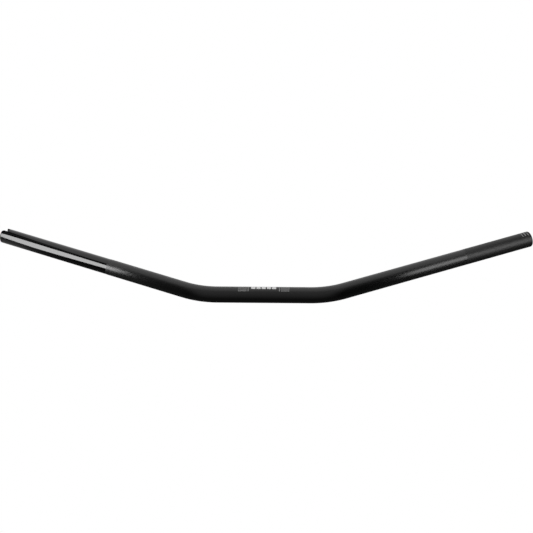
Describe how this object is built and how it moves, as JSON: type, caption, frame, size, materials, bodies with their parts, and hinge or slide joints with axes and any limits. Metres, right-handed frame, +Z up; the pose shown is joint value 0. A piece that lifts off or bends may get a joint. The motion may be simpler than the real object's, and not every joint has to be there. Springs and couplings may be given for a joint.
{
  "type": "motorcycle handlebar",
  "caption": "Flat swept-back motorcycle handlebar: one bent black tube with a smooth notched throttle end, a rough clutch end, clamp scales and trim lines.",
  "frame": {"origin": "on the tube's axis in the middle of the straight clamp zone, where the risers hold the bar", "axes": "+X along the clamp zone to the rider's left (clutch side), +Y back towards the rider, the way the arms sweep, +Z up, square to the flat plane that the whole bar lies in"},
  "size_m": [0.8694, 0.1709, 0.026],
  "materials": {
    "satin_black_coat": "satin black powder coat over steel",
    "gloss_black_seat": "smooth gloss black, without powder coat, where the throttle sleeve turns",
    "bare_bore": "dull dark drawn steel inside the tube",
    "grey_ink": "matt pad-printed ink",
    "white_ink": "matt pad-printed ink"
  },
  "bodies": {
    "root": {"bar_tube": "satin_black_coat", "scale_throttle_side": "grey_ink", "scale_clutch_side": "grey_ink", "centre_mark": "white_ink", "trim_line_5mm": "grey_ink", "trim_line_10mm": "grey_ink", "trim_line_15mm": "grey_ink"}
  },
  "joints": []
}
